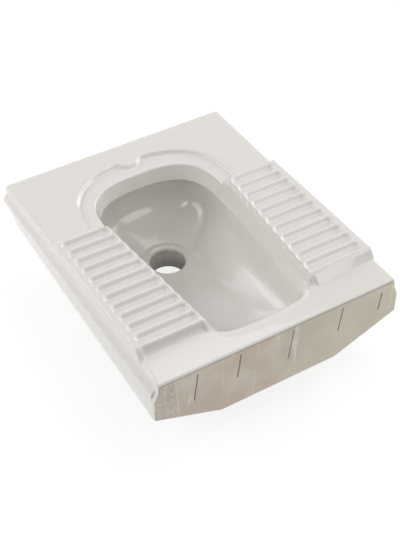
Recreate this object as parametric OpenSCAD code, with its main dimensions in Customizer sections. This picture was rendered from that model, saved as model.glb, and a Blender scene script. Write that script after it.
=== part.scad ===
// Squat toilet pan of glazed vitreous china, set level in a floor.
// X runs to the right, Y to the back and Z up. The pan is centred on X and Y,
// and the end of its outlet spigot, the lowest point, is at Z = 0.
// Every piece is drawn with its heights measured down from the deck's top,
// and is then lifted by outlet_depth.

/* [Deck] */
// Width of the deck from side to side
deck_w = 480; // [460:5:520]
// Length of the deck from front to back
deck_l = 600; // [590:5:640]
// Thickness of the deck plate
deck_t = 12; // [10:1:14]
// Radius of the deck's top edges and corners
edge_r = 5; // [3:1:8]
// Height of the deck's top above the end of the outlet spigot
outlet_depth = 200; // [190:5:230]

/* [Shelf behind the bowl] */
// Depth of the lowered shelf
shelf_drop = 8; // [5:1:10]
// Width of the shelf from side to side
shelf_w = 320; // [310:2:330]
// Reach of the shelf behind the centre of the basin
shelf_reach = 146; // [142:1:152]
// How far the pointed tongue of the deck dips into the shelf
tongue_reach = 15; // [8:1:18]
// Half width of that tongue
tongue_w = 20; // [14:1:26]
// Thickness of the wall under the shelf
shelf_t = 12; // [10:1:13]

/* [Mouth and rim] */
// Distance of the basin's centre in front of the deck's back edge
basin_back = 200; // [196:1:210]
// Width of the mouth across the basin, at the deck
mouth_w = 254; // [246:2:258]
// Reach of the mouth behind the basin's centre
mouth_back = 107; // [103:1:110]
// Width of the mouth at its front end
mouth_front_w = 194; // [180:2:204]
// Depth of the deck left in front of the mouth
front_margin = 19; // [17:1:30]
// How far the rim's face leans in at the sides
lean_side = 10; // [6:1:14]
// How far the rim's face leans in at the back
lean_back = 4; // [2:1:8]
// How far the rolled front edge reaches in
lean_front = 34; // [28:1:38]
// Depth of the rim's lip at the back
lip_depth_back = 42; // [38:1:46]
// Depth of the rim's lip at the front
lip_depth_front = 20; // [16:1:24]
// Thickness of the rim's wall
rim_t = 8; // [7:1:10]
// Width of the ledge under the water channel, from the lip outward
ledge_w = 34; // [30:1:38]
// How far that ledge falls away from the lip
ledge_fall = 18; // [12:1:20]
// Width of the plain foot of the rim at the sides and front
foot_w = 14; // [13:1:17]
// How far the bowl's wall stands back under the lip, at the back
undercut = 14; // [12:1:17]
// Number of wash holes in the ledge
wash_holes = 9; // [3:2:13]
// Diameter of a wash hole
wash_d = 6; // [4:0.5:7]

/* [Bowl] */
// Thickness of the bowl's wall
bowl_t = 11; // [9:1:12]
// Depth of the floor at the drain
bowl_depth = 150; // [140:2:156]
// Fall of the floor towards the drain, as a slope
floor_slope = 0.2; // [0.12:0.02:0.22]
// Width of the floor in front of the drain
floor_w = 92; // [84:2:100]
// Distance of the floor's front end behind the deck's front edge
floor_margin = 128; // [120:2:140]
// Share of the wall's depth at which it bends from upright to sloping
wall_bend = 0.46; // [0.36:0.02:0.56]
// Softness of that bend, as a share of the depth
wall_soft = 0.05; // [0.03:0.01:0.1]
// Share of the wall's width that it leans in by above the bend
wall_lean = 0.06; // [0:0.01:0.12]
// Hollowness of the slope below the bend: 1 is straight
wall_hollow = 1.2; // [1:0.05:1.4]

/* [Drain and outlet] */
// Distance of the drain's centre in front of the basin's centre
drain_ahead = 5; // [0:1:10]
// Diameter of the waste bore
drain_d = 70; // [64:1:76]
// Width of the rounded edge round the drain
drain_edge = 8; // [5:1:9]
// Outer diameter of the outlet spigot
spigot_d = 92; // [90:1:100]
// Thickness of the collar of the bowl that the spigot joins
collar_t = 14; // [12:1:16]

/* [Foot treads] */
// Height of the tread above the deck at its back end
tread_back_h = 11.5; // [9:0.5:14]
// Height of the tread above the deck at its front end
tread_front_h = 18.5; // [15:0.5:22]
// Distance of the tread's back end in front of the basin's centre
tread_ahead = 10; // [9:1:14]
// Distance of the tread's front top edge behind the deck's front edge
tread_margin = 74; // [66:1:80]
// Length of the sloping front face of the tread
tread_toe = 10; // [6:1:14]
// How far the back wall of a foot rest leans in from its foot
tread_heel = 6; // [2:1:8]
// Lean of the tread's inner wall, in degrees
tread_lean = 26; // [15:1:30]
// Number of grooves in a tread
grooves = 11; // [8:1:11]
// Distance from the tread's back end to the middle of the first groove
first_groove = 23; // [21:0.5:26]
// Distance from the middle of the last groove to the tread's front top edge
last_groove = 18.5; // [14:0.5:22]
// Width of a groove
groove_w = 17; // [14:0.5:18]
// Depth of a groove
groove_d = 7; // [4:0.5:8]
// Width of the tread left inside the groove ends
rib_inner = 5; // [4:0.5:7]
// Width of the tread left outside the groove ends
rib_outer = 12.5; // [8:0.5:16]

/* [Side, back and front walls] */
// Thickness of the upright webs under the foot rests
web_t = 10; // [8:1:12]
// Distance of the front web behind the tread's foot
web_front = 86; // [60:2:110]
// Distance of the rear web in front of the basin's centre
web_rear = 90; // [70:2:110]
// Depth of the webs below the flare
web_h = 26; // [20:1:30]
// Thickness of the side and back walls
skirt_t = 12; // [10:1:14]
// How far the lower band of the side wall stands out
band_out = 8; // [4:1:12]
// Depth at which the side wall starts to flare
band_z = 20; // [17:1:24]
// Depth of the flare
band_h = 10; // [8:1:14]
// Depth of the side wall's bottom edge at its front end
side_front_h = 88; // [80:1:96]
// Depth of the side wall's bottom edge near its back end
side_back_h = 58; // [52:1:64]
// Depth of the side wall's bottom edge at the back corner
side_corner_h = 38; // [36:1:44]
// Thickness of the front wall
apron_t = 12; // [10:1:14]
// Depth of the front wall in the middle
apron_h = 133; // [126:1:140]
// Width of the front wall's flat bottom edge
apron_base_w = 236; // [200:2:260]
// Depth of the front wall at its sides
apron_side_h = 82; // [76:1:88]
// Width of a keying slit in the front wall
slit_w = 3; // [2:0.5:4]
// Depth of a keying slit
slit_d = 5; // [3:0.5:7]

/* [Flush inlet] */
// Outer diameter of the inlet socket
socket_d = 56; // [52:1:58]
// Diameter of the socket's seat for the rubber seal
seat_d = 44; // [42:1:46]
// Length of that seat
seat_l = 26; // [20:1:30]
// Outer diameter of the flush pipe that the seal takes
pipe_d = 32; // [28:1:34]
// Depth of the socket's centre below the deck
socket_z = 49; // [49:1:56]
// Diameter of the port in the channel's wall
port_d = 24; // [18:1:26]
// Depth of that port's centre below the deck
port_z = 40; // [38:1:44]

/* [Hidden] */

$fn = 48;
glaze = [0.93, 0.92, 0.90];
bisque = [0.76, 0.71, 0.63];
rubber = [0.15, 0.15, 0.16];

front_y = -deck_l / 2;
back_y = deck_l / 2;
basin_y = back_y - basin_back;
drain_y = basin_y - drain_ahead;
tread_back_y = basin_y - tread_ahead;
tread_front_y = front_y + tread_margin;
tread_foot_y = tread_front_y - tread_toe;
groove_pitch = (tread_back_y - tread_front_y - first_groove - last_groove)
    / max(1, grooves - 1);
// Points of an outline on each of its stretches, from the back round to the front
n_back = 16;
n_side = 11;
n_corner = 5;
n_front = 4;
n_half = n_back + n_side + n_corner + n_front;
n_ring = 2 * n_half;
eps = 0.01;

// An outline is [half width, reach to the back, squareness, centre in Y,
// front half width, front end in Y, front corner radius, bow of the front edge]
mouth_shape = [mouth_w / 2, mouth_back, 2.7, basin_y,
    mouth_front_w / 2, front_y + front_margin, 30, 7];
lip_shape = [mouth_w / 2 - lean_side, mouth_back - lean_back, 2.7, basin_y,
    mouth_front_w / 2 - lean_side, front_y + front_margin + lean_front, 20, 5];
floor_back_r = drain_d / 2 + drain_edge + 12;
floor_shape = [floor_back_r, floor_back_r, 2, drain_y, floor_w / 2,
    front_y + floor_margin, 38, 1];
shelf_squareness = 2.4;
shelf_front_y = tread_back_y + 1;
rim_band = 6;
// How far the wall under the shelf runs past the shelf's edge
pad_margin = 6;
pad_lap = 12;
ledge_t = 9;
lip_round = 3;
// The bowl's wall under the rim, at the sides and front
side_undercut = 2;
waste_r = drain_d / 2;
collar_r = spigot_d / 2 + 1;
collar_z = -bowl_depth - collar_t;
channel_t = 10;
channel_last = n_back - 2;
shelf_under = -shelf_drop - shelf_t;
socket_r = socket_d / 2;
lip_back_y = basin_y + mouth_back - lean_back;
channel_y = lip_back_y + ledge_w;
socket_y = max(channel_y + channel_t, basin_y + shelf_reach + pad_margin) + 1;
flank_turn = atan((lip_shape[0] - lip_shape[4]) / (basin_y - lip_shape[5]
    - lip_shape[6] - lip_shape[7]));
// Keying slits: place across the wall, length and depth of the top end
slits = [[-166, 62, 13], [-82, 54, 13], [24, 68, 13], [127, 55, 14], [212, 40, 20]];
slit_lean = 7;

function clamp01(v) = min(1, max(0, v));
// 0 below a, 1 above b and smooth between them
function ease(v, a, b) = let (u = clamp01((v - a) / (b - a))) u * u * (3 - 2 * u);
function corner_y(o) = o[5] + o[7] + o[6];
// Places along a flank: two close together at the step at the shelf's front,
// and the others evenly spaced
function flank_y(o, i) = i == 0 ? o[3] : i == 1 ? shelf_front_y + 1.5 :
    shelf_front_y - 1.5 + (corner_y(o) - shelf_front_y + 1.5) * (i - 2) / (n_side - 2);
// Half width of an outline's straight flank at a place in Y
function half_width(o, y) = o[0] + (o[4] - o[0]) * (o[3] - y) / (o[3] - corner_y(o));

function half_outline(o) = concat(
    [for (i = [0:n_back - 1]) let (t = 90 * (1 - i / n_back))
        [o[0] * pow(cos(t), 2 / o[2]), o[3] + o[1] * pow(sin(t), 2 / o[2])]],
    [for (i = [0:n_side - 1]) let (y = flank_y(o, i)) [half_width(o, y), y]],
    [for (i = [0:n_corner - 1]) let (t = 90 * i / n_corner)
        [o[4] - o[6] * (1 - cos(t)), corner_y(o) - o[6] * sin(t)]],
    [for (i = [0:n_front]) let (u = 1 - i / n_front)
        [(o[4] - o[6]) * u, o[5] + o[7] * u * u]]);
function outline(o) = let (h = half_outline(o))
    concat(h, [for (i = [n_half - 1:-1:1]) [-h[i][0], h[i][1]]]);

// An outline moved outward by a list of distances, one for each point
function grown(p, d) = [for (i = [0:n_ring - 1])
    let (t = p[(i + 1) % n_ring] - p[(i + n_ring - 1) % n_ring])
    p[i] + d[i] * [-t[1], t[0]] / norm(t)];
function same(v) = [for (i = [0:n_ring - 1]) v];
function lifted(p, z) = [for (i = [0:n_ring - 1]) [p[i][0], p[i][1], z[i]]];
function blended(p, q, f) = [for (i = [0:n_ring - 1]) p[i] + (q[i] - p[i]) * f];
function blended_z(p, q, f) = [for (i = [0:n_ring - 1]) p[i] + (q[i] - p[i]) * f];

mouth = outline(mouth_shape);
lip = outline(lip_shape);
floor_edge = outline(floor_shape);
// Round the basin's back 1, along the sides and front 0
at_back = [for (q = lip) ease(q[1], basin_y - 6, basin_y + 16)];
mouth_z = [for (q = mouth) -shelf_drop * ease(q[1], shelf_front_y - 1, shelf_front_y + 1)];
lip_z = [for (q = lip)
    -lip_depth_front - (lip_depth_back - lip_depth_front)
    * pow(clamp01((q[1] - lip_shape[5]) / (basin_y - lip_shape[5])), 1.5)];
under_w = [for (b = at_back) foot_w + (ledge_w - foot_w) * b];
under_fall = [for (b = at_back) ledge_fall * b];
// Height of the rim's underside at a distance outside the lip
function under_z(i, d) = lip_z[i] - lip_round - under_fall[i] * d / under_w[i];
function under_row(d) = [for (i = [0:n_ring - 1]) under_z(i, d[i])];
floor_start_y = drain_y - waste_r - drain_edge;
function floor_z(y) = -bowl_depth + floor_slope * max(0, floor_start_y - y);

// A closed ring whose cross-section runs through the rows, one after the other
module ring_solid(rows) {
    m = len(rows);
    polyhedron(
        points = [for (r = rows) each r],
        faces = [for (j = [0:m - 1], i = [0:n_ring - 1])
            let (a = j * n_ring + i, b = j * n_ring + (i + 1) % n_ring,
                c = ((j + 1) % m) * n_ring + i, d = ((j + 1) % m) * n_ring + (i + 1) % n_ring)
            each [[a, b, d], [a, d, c]]],
        convexity = 8);
}

// A bar whose cross-sections follow each other, closed at both ends
module bar_solid(sections) {
    m = len(sections);
    k = len(sections[0]);
    polyhedron(
        points = [for (s = sections) each s],
        faces = concat(
            [for (j = [0:m - 2], i = [0:k - 1])
                let (a = j * k + i, b = j * k + (i + 1) % k,
                    c = a + k, d = b + k)
                each [[a, d, b], [a, c, d]]],
            [for (i = [1:k - 2]) [0, i, i + 1]],
            [for (i = [1:k - 2]) let (e = (m - 1) * k) [e, e + i + 1, e + i]]),
        convexity = 8);
}

module lift() {
    translate([0, 0, outlet_depth]) children();
}

// A plate with rounded top edges and corners
module soft_plate(w, l, t, r) {
    x = w / 2 - r;
    y = l / 2 - r;
    intersection() {
        union() {
            translate([-x, -y, -2 * t]) cube([2 * x, 2 * y, 2 * t]);
            translate([-x - r, -y, -2 * t]) cube([2 * (x + r), 2 * y, 2 * t - r]);
            translate([-x, -y - r, -2 * t]) cube([2 * x, 2 * (y + r), 2 * t - r]);
            for (i = [-1, 1]) {
                translate([i * x, -y, -r]) rotate([-90, 0, 0]) cylinder(r = r, h = 2 * y);
                translate([-x, i * y, -r]) rotate([0, 90, 0]) cylinder(r = r, h = 2 * x);
            }
            for (i = [-1, 1], j = [-1, 1]) translate([i * x, j * y, 0]) {
                translate([0, 0, -r]) sphere(r = r);
                translate([0, 0, -2 * t]) cylinder(r = r, h = 2 * t - r);
            }
        }
        translate([-w, -l, -t]) cube([2 * w, 2 * l, 2 * t]);
    }
}

// Outline of the lowered shelf, or of the wall under it, with the deck's
// pointed tongue dipping into it
module shelf_outline(extra, from_y, tongue) {
    a = shelf_w / 2 + extra;
    b = shelf_reach + extra;
    steps = 60;
    polygon([for (i = [0:steps])
        let (t = 180 * i / steps, c = cos(t), s = sin(t),
            x = a * sign(c) * pow(abs(c), 2 / shelf_squareness),
            y = basin_y + b * pow(s, 2 / shelf_squareness))
        [x, i == 0 || i == steps ? from_y : y - tongue * exp(-pow(x / tongue_w, 4))]]);
}

module deck() color(glaze) lift() {
    side_l = tread_back_y + 1 - tread_foot_y;
    difference() {
        union() {
            difference() {
                union() {
                    soft_plate(deck_w, deck_l, deck_t, edge_r);
                    for (i = [-1, 1]) translate([i * (deck_w / 2 - edge_r) - edge_r,
                        tread_foot_y, -deck_t]) cube([2 * edge_r, side_l, deck_t]);
                }
                translate([0, 0, -shelf_drop]) linear_extrude(2 * shelf_drop)
                    shelf_outline(0, shelf_front_y, tongue_reach);
            }
            translate([0, 0, shelf_under]) linear_extrude(-shelf_under - shelf_drop)
                shelf_outline(pad_margin, shelf_front_y - pad_lap, 0);
        }
        translate([0, 0, shelf_under - 1]) linear_extrude(2 * shelf_t + shelf_drop)
            polygon(grown(mouth, same(rim_band)));
    }
}

// The raised foot rest on the right: a wedge with a scalloped inner edge and
// round-ended grooves across it
module tread() {
    tread_l = tread_back_y - tread_front_y;
    foot_y = tread_foot_y;
    in_back = half_width(mouth_shape, tread_back_y);
    in_front = half_width(mouth_shape, foot_y);
    turn = atan((in_back - in_front) / (tread_back_y - foot_y));
    first_y = tread_back_y - first_groove;
    scallop = 3;
    end_r = groove_w / 2;
    rise = (tread_front_h - tread_back_h) / tread_l;
    function top_z(y) = tread_back_h + rise * (tread_back_y - y);
    function edge_x(y) = half_width(mouth_shape, y) + top_z(y) * tan(tread_lean);
    difference() {
        intersection() {
            translate([in_front - 20, 0, 0]) rotate([90, 0, 90])
                linear_extrude(deck_w / 2 - in_front + 20) polygon([[foot_y, 0],
                    [tread_front_y, tread_front_h], [tread_back_y + 1 - tread_heel, tread_back_h],
                    [tread_back_y + 1, 0]]);
            union() {
                translate([in_back + scallop, tread_back_y, 0]) rotate([0, 0, -turn])
                    rotate([0, tread_lean, 0]) translate([0, -2 * tread_l, -4 * tread_front_h])
                    cube([deck_w, 3 * tread_l, 9 * tread_front_h]);
                for (i = [0:grooves - 1]) {
                    y = first_y - i * groove_pitch;
                    h = top_z(y) + 1;
                    translate([edge_x(y) + rib_inner + end_r, y, 0])
                        cylinder(h = h, r1 = end_r + rib_inner + h * tan(tread_lean),
                            r2 = end_r + rib_inner);
                }
            }
        }
        for (i = [0:grooves - 1]) {
            y = first_y - i * groove_pitch;
            from_x = edge_x(y) + rib_inner + end_r;
            to_x = deck_w / 2 - rib_outer - end_r;
            translate([from_x, y, top_z(y) - groove_d]) cylinder(r = end_r, h = 20);
            translate([to_x, y, top_z(y) - groove_d]) cylinder(r = end_r, h = 20);
            translate([from_x, y - end_r, top_z(y) - groove_d])
                cube([to_x - from_x, groove_w, 20]);
        }
    }
}
module right_tread() color(glaze) lift() tread();
module left_tread() color(glaze) lift() mirror([1, 0, 0]) tread();

// The collar round the mouth: its face leans in from the deck to the lip, and
// round the back its foot widens into the ledge under the water channel
module flush_rim() {
    face_bow = [for (q = mouth) 1.15 + 1.05 * ease(-q[1], -corner_y(mouth_shape) - 20,
        -mouth_shape[5] - 5)];
    top_under = [for (i = [0:n_ring - 1]) -deck_t + (shelf_under + deck_t) * at_back[i]];
    function face(s) = [for (i = [0:n_ring - 1]) let (q = mouth[i] + (lip[i] - mouth[i]) * s)
        [q[0], q[1], mouth_z[i] + (lip_z[i] - mouth_z[i]) * pow(s, face_bow[i])]];
    band = grown(mouth, same(rim_band));
    back_of_rim = grown(lip, same(rim_t + side_undercut));
    color(glaze) lift() difference() {
        ring_solid([
            lifted(band, mouth_z), face(0), face(0.2), face(0.4), face(0.6), face(0.8), face(1),
            lifted(grown(lip, same(1)), [for (z = lip_z) z - lip_round * 0.7]),
            lifted(grown(lip, same(lip_round)), under_row(same(lip_round))),
            lifted(grown(lip, under_w), under_row(under_w)),
            lifted(grown(lip, under_w), [for (z = under_row(under_w)) z + ledge_t]),
            lifted(back_of_rim, [for (i = [0:n_ring - 1]) lip_z[i] + 5]),
            lifted(band, top_under)]);
        for (i = [0:wash_holes - 1]) {
            turn = -66 + 132 * i / (wash_holes - 1);
            hole_at = lip_hole(turn);
            translate([hole_at[0], hole_at[1], -lip_depth_back - ledge_fall - ledge_t])
                cylinder(d = wash_d, h = ledge_t + ledge_fall + 8, $fn = 24);
        }
    }
}
// A place on the ledge between the rim's wall and the bowl's wall, seen from
// the basin's centre at an angle from straight back
function lip_hole(turn) = let (c = sin(turn), s = cos(turn), n = lip_shape[2],
    r = 1 / pow(pow(abs(c) / lip_shape[0], n) + pow(s / lip_shape[1], n), 1 / n)
        + (rim_t + side_undercut + undercut) / 2)
    [r * c, basin_y + r * s];

// The outer wall of the water channel round the basin's back, with an end wall
// on each side and the port for the flush water
module flush_channel() {
    inner = grown(lip, under_w);
    outer = grown(lip, [for (w = under_w) w + channel_t]);
    near = grown(lip, same(rim_t + side_undercut));
    low = under_row(under_w);
    chain = [for (i = [-channel_last:channel_last]) (i + n_ring) % n_ring];
    function wall(i) = [[inner[i][0], inner[i][1], shelf_under],
        [inner[i][0], inner[i][1], low[i]], [outer[i][0], outer[i][1], low[i]],
        [outer[i][0], outer[i][1], shelf_under]];
    function end_wall(i) = [[near[i][0], near[i][1], shelf_under],
        [near[i][0], near[i][1], lip_z[i] + 5], [inner[i][0], inner[i][1], low[i] + ledge_t],
        [inner[i][0], inner[i][1], shelf_under]];
    color(glaze) lift() difference() {
        union() {
            bar_solid([for (i = chain) wall(i)]);
            bar_solid([end_wall(chain[0]), end_wall(chain[1])]);
            bar_solid([end_wall(chain[len(chain) - 2]), end_wall(chain[len(chain) - 1])]);
            translate([0, channel_y + 2, -socket_z]) rotate([-90, 0, 0])
                cylinder(d = socket_d, h = socket_y - channel_y - 2, $fn = 64);
        }
        translate([0, channel_y - 5, -port_z]) rotate([-90, 0, 0])
            cylinder(d = port_d, h = deck_l);
    }
}

// The trough: steep walls that bend into a sloping floor, and the drain's edge
module bowl() {
    stand = [for (b = at_back) side_undercut + (undercut - side_undercut) * b];
    top = grown(lip, stand);
    top_z = under_row(stand);
    top_out = grown(lip, [for (s = stand) s + bowl_t]);
    top_out_z = under_row([for (s = stand) s + bowl_t]);
    edge_z = [for (q = floor_edge) floor_z(q[1])];
    function soft(u) = ln(1 + exp((u - wall_bend) / wall_soft));
    function wall_share(g) = wall_lean * g
        + (1 - wall_lean) * pow(max(0, soft(g) - soft(0)) / (soft(1) - soft(0)), wall_hollow);
    function wall(g) = lifted(blended(top, floor_edge, wall_share(g)),
        blended_z(top_z, edge_z, g));
    function wall_out(g) = lifted(
        grown(blended(top, floor_edge, wall_share(g)), same(bowl_t * (1 - 0.35 * g))),
        [for (z = blended_z(top_z, edge_z, g)) z - bowl_t * 0.8 * g]);
    function ring(r, z) = [for (i = [0:n_ring - 1]) let (t = 90 - 360 * i / n_ring)
        [r * cos(t), drain_y + r * sin(t), z]];
    drain = [for (q = ring(waste_r + drain_edge, 0)) [q[0], q[1]]];
    function ground(s) = let (p = blended(floor_edge, drain, s))
        lifted(p, [for (q = p) floor_z(q[1])]);
    function ground_out(s) = let (p = blended(grown(floor_edge, same(bowl_t * 0.65)),
            [for (q = ring(collar_r + 4, 0)) [q[0], q[1]]], s))
        lifted(p, [for (q = p) max(floor_z(q[1]) - bowl_t * 0.95, collar_z + 1)]);
    color(glaze) lift() ring_solid([
        lifted(top, top_z), wall(0.2), wall(wall_bend - 0.08), wall(wall_bend - 0.02),
        wall(wall_bend + 0.04), wall(wall_bend + 0.11), wall(0.7), wall(0.84), wall(0.94),
        ground(0), ground(0.3), ground(0.6), ground(0.85),
        ring(waste_r + drain_edge, -bowl_depth),
        ring(waste_r + drain_edge * 0.5, -bowl_depth - drain_edge * 0.15),
        ring(waste_r + drain_edge * 0.13, -bowl_depth - drain_edge * 0.5),
        ring(waste_r, -bowl_depth - drain_edge),
        ring(waste_r, collar_z), ring(collar_r, collar_z),
        ground_out(1), ground_out(0.5), ground_out(0.1),
        wall_out(0.93), wall_out(0.78), wall_out(wall_bend + 0.12), wall_out(wall_bend + 0.02),
        wall_out(wall_bend - 0.1), wall_out(0.12),
        lifted(top_out, top_out_z)]);
}

// The round tube that joins the pan to the soil pipe
module outlet_spigot() color(glaze) translate([0, drain_y, 0]) difference() {
    cylinder(d = spigot_d, h = outlet_depth + collar_z);
    translate([0, 0, -1]) cylinder(r = waste_r, h = outlet_depth + collar_z + 2);
}

// The flat unglazed front wall with its keying slits
module front_apron() color(bisque) lift() difference() {
    w = deck_w / 2;
    translate([0, front_y + apron_t, 0]) rotate([90, 0, 0]) linear_extrude(apron_t)
        polygon([[-w, -deck_t], [-w, -band_z], [-w - band_out, -band_z - 2 * band_h],
            [-w - band_out, -apron_side_h], [-apron_base_w / 2, -apron_h],
            [apron_base_w / 2, -apron_h], [w + band_out, -apron_side_h],
            [w + band_out, -band_z - 2 * band_h], [w, -band_z], [w, -deck_t]]);
    for (s = slits) translate([s[0] * deck_w / 480, front_y, -s[2]])
        rotate([0, slit_lean, 0]) translate([-slit_w / 2, -1, -s[1]])
        cube([slit_w, slit_d + 1, s[1]]);
}

// The side wall on the right: an upright band, a small flare and the lower
// band, whose bottom edge rises to the back
module side_skirt() difference() {
    w = deck_w / 2;
    length = deck_l - apron_t;
    translate([0, back_y, 0]) rotate([90, 0, 0]) linear_extrude(length)
        polygon([[w, -deck_t], [w, -band_z], [w + band_out, -band_z - band_h],
            [w + band_out, -side_front_h - 10], [w + band_out - skirt_t, -side_front_h - 10],
            [w + band_out - skirt_t, -band_z - band_h - 4], [w - skirt_t, -band_z - 4],
            [w - skirt_t, -deck_t]]);
    translate([w - skirt_t - 1, 0, 0]) rotate([90, 0, 90])
        linear_extrude(band_out + skirt_t + 2)
        polygon([[front_y, -side_front_h], [back_y - 70, -side_back_h],
            [back_y - 21, -side_corner_h - 1], [back_y + 1, -side_corner_h],
            [back_y + 1, -side_front_h - 20], [front_y, -side_front_h - 20]]);
}
module right_skirt() color(glaze) lift() side_skirt();
module left_skirt() color(glaze) lift() mirror([1, 0, 0]) side_skirt();

// The back wall between the side walls, deeper where the flush pipe goes in
module back_skirt() color(glaze) lift() {
    x = deck_w / 2 - skirt_t;
    difference() {
        translate([0, back_y, 0]) rotate([90, 0, 0]) linear_extrude(skirt_t)
            polygon([[-x, -deck_t], [x, -deck_t], [x, -side_corner_h],
                [x - 60, -side_back_h], [socket_r + 20, -side_back_h - 8],
                [socket_r + 4, -socket_z - socket_r - 8],
                [-socket_r - 4, -socket_z - socket_r - 8],
                [-socket_r - 20, -side_back_h - 8], [60 - x, -side_back_h],
                [-x, -side_corner_h]]);
        translate([0, back_y - skirt_t - 1, -socket_z]) rotate([-90, 0, 0])
            cylinder(d = socket_d, h = skirt_t + 2, $fn = 64);
    }
}

// The short tube at the back that takes the flush pipe's seal
module inlet_socket() color(glaze) lift() {
    from_y = socket_y;
    translate([0, from_y, -socket_z]) rotate([-90, 0, 0]) difference() {
        cylinder(d = socket_d, h = back_y - from_y, $fn = 64);
        translate([0, 0, -1]) cylinder(d = seat_d - 10, h = deck_l);
        translate([0, 0, back_y - from_y - seat_l]) cylinder(d = seat_d, h = seat_l + 1);
    }
}

// The rubber ring between the flush pipe and the socket
module inlet_seal() color(rubber) lift() {
    inset = 1;
    translate([0, back_y - inset, -socket_z]) rotate([90, 0, 0]) rotate_extrude($fn = 64)
        polygon([[pipe_d / 2, 0], [seat_d / 2 - 1, 0], [seat_d / 2, 2],
            [seat_d / 2, 6], [seat_d / 2 - 1.5, 8], [seat_d / 2 - 1.5, 11],
            [seat_d / 2, 13], [seat_d / 2, 17], [seat_d / 2 - 2, seat_l - inset],
            [pipe_d / 2, seat_l - inset]]);
}

// An upright wall under the right foot rest, from the rim to the side wall
module web(y) {
    w = deck_w / 2;
    t = web_t;
    side_in = w - skirt_t;
    function foot_x(y) = half_width(lip_shape, y) + foot_w / cos(flank_turn);
    rim_x = half_width(mouth_shape, y + t) + rim_band + 1;
    low = -band_z - band_h - web_h;
    intersection() {
        translate([0, y + t / 2, 0]) rotate([90, 0, 0]) linear_extrude(t)
            polygon([[rim_x, -deck_t], [side_in, -deck_t], [side_in, -band_z - 4],
                [side_in + band_out, -band_z - band_h - 4], [side_in + band_out, low],
                [0, low], [0, -deck_t - 5], [rim_x, -deck_t - 5]]);
        translate([0, 0, low]) linear_extrude(-low)
            polygon([[foot_x(y + t / 2), y + t / 2], [w + band_out, y + t / 2],
                [w + band_out, y - t / 2], [foot_x(y - t / 2), y - t / 2]]);
    }
}
web_front_y = tread_foot_y + web_front;
web_rear_y = basin_y - web_rear;
module right_web_front() color(glaze) lift() web(web_front_y);
module right_web_rear() color(glaze) lift() web(web_rear_y);
module left_web_front() color(glaze) lift() mirror([1, 0, 0]) web(web_front_y);
module left_web_rear() color(glaze) lift() mirror([1, 0, 0]) web(web_rear_y);

deck();
left_tread();
right_tread();
flush_rim();
flush_channel();
bowl();
outlet_spigot();
inlet_socket();
inlet_seal();
front_apron();
back_skirt();
left_skirt();
right_skirt();
left_web_front();
left_web_rear();
right_web_front();
right_web_rear();
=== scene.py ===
import math

import bmesh
import bpy
import numpy as np
from mathutils import Matrix, Vector


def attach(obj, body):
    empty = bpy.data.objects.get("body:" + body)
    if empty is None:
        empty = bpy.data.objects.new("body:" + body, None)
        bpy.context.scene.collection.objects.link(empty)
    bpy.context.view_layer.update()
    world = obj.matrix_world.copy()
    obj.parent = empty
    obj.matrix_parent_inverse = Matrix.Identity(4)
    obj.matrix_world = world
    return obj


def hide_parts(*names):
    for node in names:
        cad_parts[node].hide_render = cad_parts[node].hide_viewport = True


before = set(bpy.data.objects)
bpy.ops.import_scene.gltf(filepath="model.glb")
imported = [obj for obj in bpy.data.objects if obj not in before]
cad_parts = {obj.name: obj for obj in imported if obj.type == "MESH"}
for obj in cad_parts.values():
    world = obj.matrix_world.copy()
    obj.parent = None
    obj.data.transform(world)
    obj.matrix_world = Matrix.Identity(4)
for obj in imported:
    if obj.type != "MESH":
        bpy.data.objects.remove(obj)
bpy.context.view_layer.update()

# ---------------------------------------------------------------------------
# Bowl. A slip-cast trough of glazed china: steep walls bend into a floor that
# slopes to the drain, whose edge is rolled over into the round throat. Its top
# edge is stuck to the underside of the rim before firing.
# ---------------------------------------------------------------------------
GLAZE_THIN, GLAZE_FULL = (0.735, 0.700, 0.665, 1), (0.775, 0.752, 0.722, 1)
# Colour of the painted shade at the back of the bowl
GLAZE_PAINTED_SHADE = (0.50, 0.475, 0.435, 1)
GLAZE_ROUGH, GLAZE_IOR, GLAZE_COAT, COAT_ROUGH = 0.16, 1.5, 0.6, 0.04
GLAZE_CLOUDS = {"Cloud_Size": 7.0, "Ripple_Size": 38.0}


def feed(tree, socket, value):
    """Gives a socket a plain value, or a link where the value is another node's output."""
    if isinstance(value, bpy.types.NodeSocket):
        tree.links.new(value, socket)
    else:
        socket.default_value = value


def mixed(tree, under, over, share, kind="RGBA"):
    """One colour laid over another by a share, or with kind FLOAT one number over another."""
    node = tree.nodes.new("ShaderNodeMix")
    node.data_type = kind
    for name, value in (("Factor", share), ("A", under), ("B", over)):
        feed(tree, node.inputs[name], value)
    return node.outputs["Result"]


def ramp(tree, value, start, end, low=0.0, high=1.0, kind="SMOOTHSTEP"):
    """From low at start to high at end, and level beyond them."""
    node = tree.nodes.new("ShaderNodeMapRange")
    node.interpolation_type = kind
    for name, number in (("Value", value), ("From Min", start), ("From Max", end), ("To Min", low),
                         ("To Max", high)):
        feed(tree, node.inputs[name], number)
    return node.outputs["Result"]


def object_point(tree):
    return tree.nodes.new("ShaderNodeTexCoord").outputs["Object"]


def apart(tree, point):
    """The x, y and z of a point."""
    split = tree.nodes.new("ShaderNodeSeparateXYZ")
    feed(tree, split.inputs["Vector"], point)
    return split.outputs


def noise(tree, point, size, detail):
    node = tree.nodes.new("ShaderNodeTexNoise")
    for name, value in (("Vector", point), ("Scale", size), ("Detail", detail)):
        feed(tree, node.inputs[name], value)
    return node.outputs["Fac"]


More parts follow.
